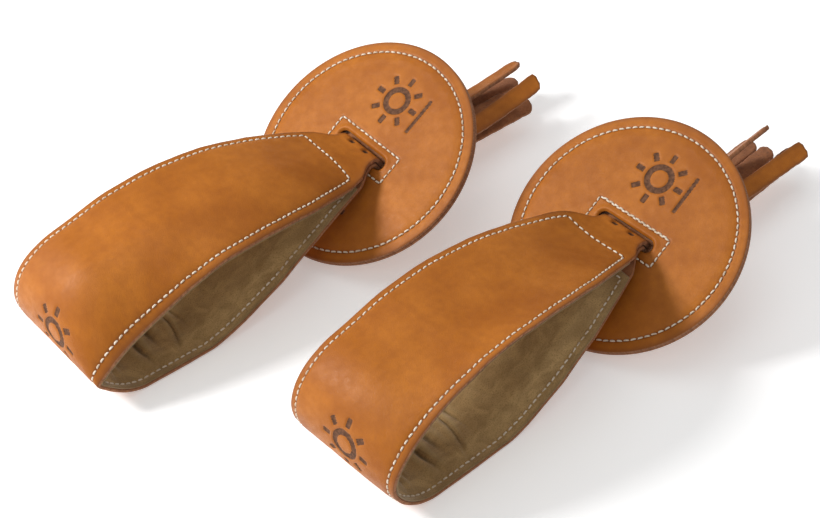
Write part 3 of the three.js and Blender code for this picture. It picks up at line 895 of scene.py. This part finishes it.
def suede_leather():
    """Olive-khaki suede: a brushed nap with lighter and darker strokes, painted shade in the fold valleys
    and a painted highlight on the fold ridges.
    """
    s = Shader("suede_lining", 0.96, Specular_IOR_Level=0.12, Sheen_Weight=0.35, Sheen_Roughness=0.5)
    stroke = s.noise(s.flat(9, 1.7), 5, 0.62, 0.8)
    nap = s.noise(s.flat(0.8), 4, 0.7)
    colour = s.mix(s.ramp(stroke, 0.3, 0.7), rgb(0.5, 0.325, 0.14), rgb(0.335, 0.207, 0.085))
    colour = s.mix(s.math("MULTIPLY", s.ramp(nap, 0.48, 0.68), 0.6), colour, rgb(0.13, 0.088, 0.036))
    edge = s.math("MULTIPLY", s.ramp(s.value("edge"), 2.2, 0.0), 0.5)
    colour = s.mix(edge, colour, rgb(0.1, 0.062, 0.03))
    # painted shade: the fold valleys are darkened
    valley = s.math("MULTIPLY", s.ramp(s.value("press"), 0.05, 0.8), 0.75)
    colour = s.mix(valley, colour, rgb(0.075, 0.048, 0.018))
    # painted highlight: the fold ridges are lightened
    ridge = s.math("MULTIPLY", s.ramp(s.value("press"), -0.05, -0.4), 0.4)
    colour = s.mix(ridge, colour, rgb(0.5, 0.38, 0.2))
    s.bump([(stroke, 0.3), (nap, 0.35)])
    return s.finish(colour)


def thread_material():
    """Waxed off-white thread with its twist."""
    s = Shader("sewing_thread", 0.62, Specular_IOR_Level=0.35, Sheen_Weight=0.2)
    where = s.node("TexCoord").outputs["Object"]
    twist = s.node("TexWave", Vector=where, Scale=900.0, Distortion=1.5, Detail=1.0).outputs["Fac"]
    dirt = s.node("TexNoise", Vector=where, Scale=160.0, Detail=3.0).outputs["Fac"]
    colour = s.mix(s.ramp(dirt, 0.42, 0.72), rgb(0.84, 0.74, 0.6), rgb(0.6, 0.46, 0.32))
    s.bump([(twist, 0.12)])
    return s.finish(colour)


def soft_filling(name, light, dark, size):
    """Felt or foam, from its fibres or cells."""
    s = Shader(name, 0.98, Specular_IOR_Level=0.1)
    where = s.node("TexCoord").outputs["Object"]
    grain = s.node("TexNoise", Vector=where, Scale=1 / (size * MM), Detail=5.0).outputs["Fac"]
    s.bump([(grain, 0.3)])
    return s.finish(s.mix(grain, light, dark))


# ---- the pair ----------------------------------------------------------------------------------
grain = grain_leather("leather_grain", rgb(0.455, 0.148, 0.016), rgb(0.345, 0.102, 0.009))
cut, flesh, suede = raw_edge(), flesh_leather(), suede_leather()
thread = thread_material()
felt = soft_filling("wool_felt", rgb(0.36, 0.33, 0.28), rgb(0.2, 0.18, 0.15), 1.2)
foam = soft_filling("foam_sheet", rgb(0.24, 0.24, 0.22), rgb(0.12, 0.12, 0.11), 0.8)


def leather_press(line, s, y):
    """How far the grain side is pressed in, by the mark and by the punched holes. The grain material paints
    both dark, which in the holes is painted shade.
    """
    return np.maximum(strap_emblem(line, s, y), neck_holes(line, s, y))


def constant(depth):
    """A face at one depth all over."""
    return lambda line, s: (lambda y: np.full(len(y), depth))


def lining_near(line, s):
    """The suede's back, one thickness behind its face but never inside the leather."""
    far = lining_far(line, s)
    return lambda y: np.maximum(far(y) - SUEDE, LEATHER + 0.12)


def foam_far(line, s):
    """The foam's inner face, just short of the suede."""
    near = lining_near(line, s)
    return lambda y: np.maximum(near(y) - LAYER_GAP, LEATHER + 0.9)


def build_strap(name):
    """One strap with its pad: every piece, with the CAD node it hides; all but the strap's leather are
    attached to their body.
    """
    strap = Strap(name)
    line = LoopLine(strap)
    pad_body, loop_body = f"pad_{name}", f"loop_{name}"
    hide = [grain, cut, flesh]

    leather = loop_piece(strap, line, f"strap_{name}_leather", WHOLE_LINE, 0, LEATHER_COLUMNS,
                         leather_near, constant(LEATHER), hide, leather_press)
    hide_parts(f"loop_{name}_leather")
    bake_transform(leather)

    # The folds go into the press values, from which the suede paints shade in the valleys and a highlight
    # on the ridges.
    lining = loop_piece(strap, line, f"strap_{name}_suede_lining", LINING_START, LINING_MARGIN,
                        LINING_COLUMNS, lining_near, lining_far, [suede, suede, suede], suede_folds)
    padding = loop_piece(strap, line, f"strap_{name}_foam_padding", FOAM_START, FOAM_MARGIN,
                         FOAM_COLUMNS, constant(LEATHER + 0.2), foam_far, [foam, foam, foam], suede_folds)
    stitches = loop_stitches(line, leather_near, False) + loop_stitches(line, lining_far, True)
    seam = stitch_mesh(strap, f"strap_{name}_seam", stitches, thread)
    for piece, node, slot_name in ((lining, f"loop_{name}_suede_lining", "suede"),
                                   (padding, f"loop_{name}_foam", "foam"),
                                   (seam, f"loop_{name}_seam_thread", "thread")):
        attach(piece, loop_body)
        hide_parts(node)

    top = top_disc(strap, hide)
    bottom = bottom_disc(strap, hide)
    rim = stitch_mesh(strap, f"pad_{name}_rim_seam", rim_stitches(strap), thread)
    box = stitch_mesh(strap, f"pad_{name}_slot_seam", slot_stitches(strap, name == "b"), thread)
    upper = tails_object(strap, "upper", hide)
    lower = tails_object(strap, "lower", hide)
    for piece, node, slot_name in ((top, f"pad_{name}_top_leather", "grain_leather"),
                                   (bottom, f"pad_{name}_bottom_leather", "grain_leather"),
                                   (rim, f"pad_{name}_rim_thread", "thread"),
                                   (box, f"pad_{name}_slot_thread", "thread"),
                                   (upper, f"tails_{name}_upper", "tail_leather"),
                                   (lower, f"tails_{name}_lower", "tail_leather")):
        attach(piece, pad_body)
        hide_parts(node)
    core = frame["nodes"][f"pad_{name}_felt_core"]
    core.data.materials.clear()
    core.data.materials.append(felt)


for strap_name in ("a", "b"):
    build_strap(strap_name)


# ---- camera, floor and light -------------------------------------------------------------------
TARGET = Vector((-0.0365, -0.0096, 0.0405))
AZIMUTH, ELEVATION, DISTANCE = math.radians(228.9), math.radians(43.6), 1.16
LENS = 87.8


def aim(obj, target):
    obj.rotation_euler = (target - obj.location).to_track_quat("-Z", "Y").to_euler()


def direction(azimuth, elevation):
    return Vector((math.cos(elevation) * math.cos(azimuth), math.cos(elevation) * math.sin(azimuth),
                   math.sin(elevation)))


def add_camera():
    data = bpy.data.cameras.new("camera")
    data.lens, data.sensor_width = LENS, 36.0
    camera = bpy.data.objects.new("camera", data)
    camera.location = TARGET + DISTANCE * direction(AZIMUTH, ELEVATION)
    aim(camera, TARGET)
    bpy.context.scene.collection.objects.link(camera)
    bpy.context.scene.camera = camera


def add_area(name, azimuth, elevation, distance, size, power):
    data = bpy.data.lights.new(name, "AREA")
    data.shape, data.size, data.energy = "DISK", size, power
    light = bpy.data.objects.new(name, data)
    light.location = TARGET + distance * direction(math.radians(azimuth), math.radians(elevation))
    aim(light, TARGET)
    bpy.context.scene.collection.objects.link(light)


def add_floor():
    size = 6.0
    corners = [(-size, -size, 0), (size, -size, 0), (size, size, 0), (-size, size, 0)]
    mesh = bpy.data.meshes.new("floor")
    mesh.from_pydata(corners, [], [(0, 1, 2, 3)])
    floor = bpy.data.objects.new("floor", mesh)
    floor.location.z = -0.0002
    white = rgb(1, 1, 1)
    s = Shader("pale_floor", 0.9, Specular_IOR_Level=0.1, Emission_Color=white, Emission_Strength=0.3)
    mesh.materials.append(s.finish(rgb(0.93, 0.93, 0.93)))
    bpy.context.scene.collection.objects.link(floor)


def add_world():
    world = bpy.data.worlds.new("studio")
    world.use_nodes = True
    background = world.node_tree.nodes["Background"]
    background.inputs["Color"].default_value = (1, 1, 1, 1)
    background.inputs["Strength"].default_value = 0.27
    bpy.context.scene.world = world


add_camera()
add_floor()
add_world()
add_area("key", 140, 38, 1.3, 0.4, 17.5)
add_area("left", 195, 42, 1.4, 1.0, 2.2)
add_area("top", 60, 75, 1.4, 1.2, 3.6)
add_area("fill", 300, 32, 1.6, 0.9, 3)
bpy.context.scene.view_settings.view_transform = "Standard"
